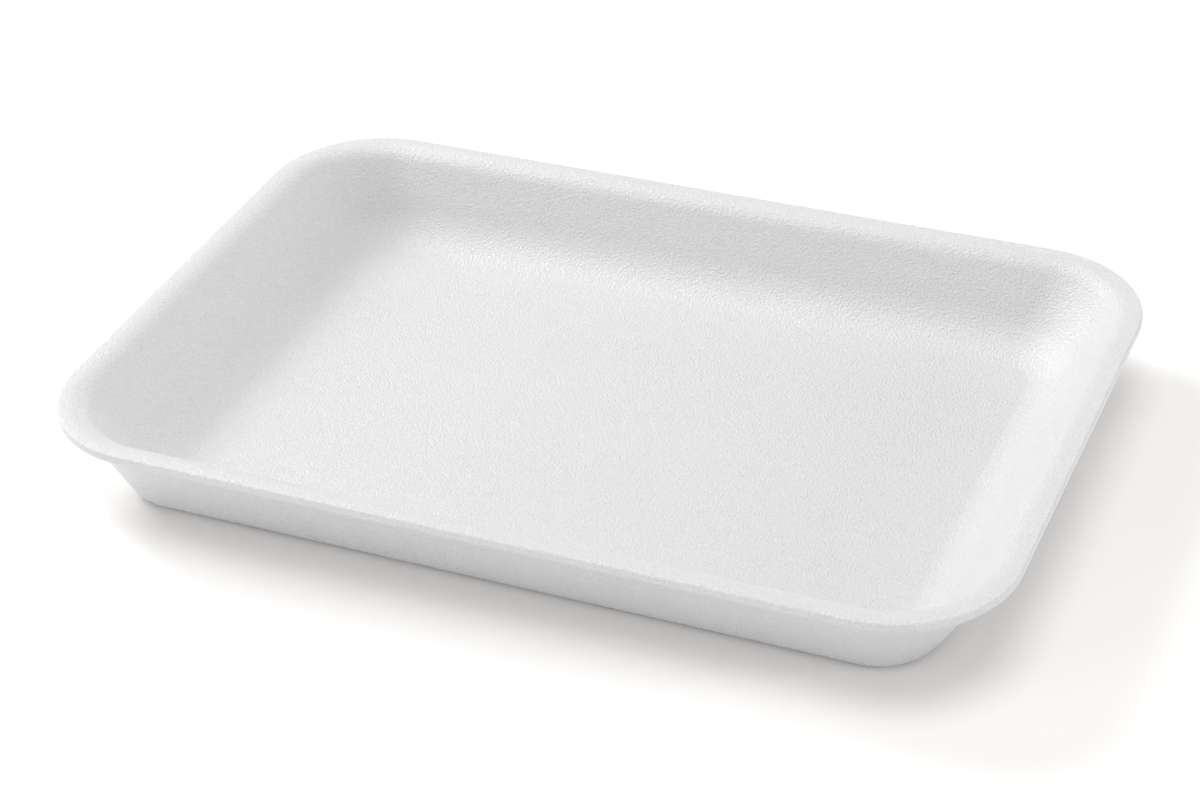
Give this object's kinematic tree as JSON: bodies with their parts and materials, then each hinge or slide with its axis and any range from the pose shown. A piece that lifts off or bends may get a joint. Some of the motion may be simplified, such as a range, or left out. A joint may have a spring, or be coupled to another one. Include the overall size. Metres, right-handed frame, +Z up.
{
  "type": "foam tray",
  "caption": "Shallow rectangular food tray of white foam with leaning walls, soft rounded corners and a narrow flat lip, for meat, fish or produce.",
  "frame": {"origin": "on the table, under the middle of the base", "axes": "+X along the length, +Y along the width, +Z up out of the open top"},
  "size_m": [0.216, 0.1468, 0.0211],
  "materials": {
    "foam": "white expanded foam with a satin skin, fine cell grain and faint orange peel on the walls"
  },
  "bodies": {
    "root": {"tray": "foam"}
  },
  "joints": []
}
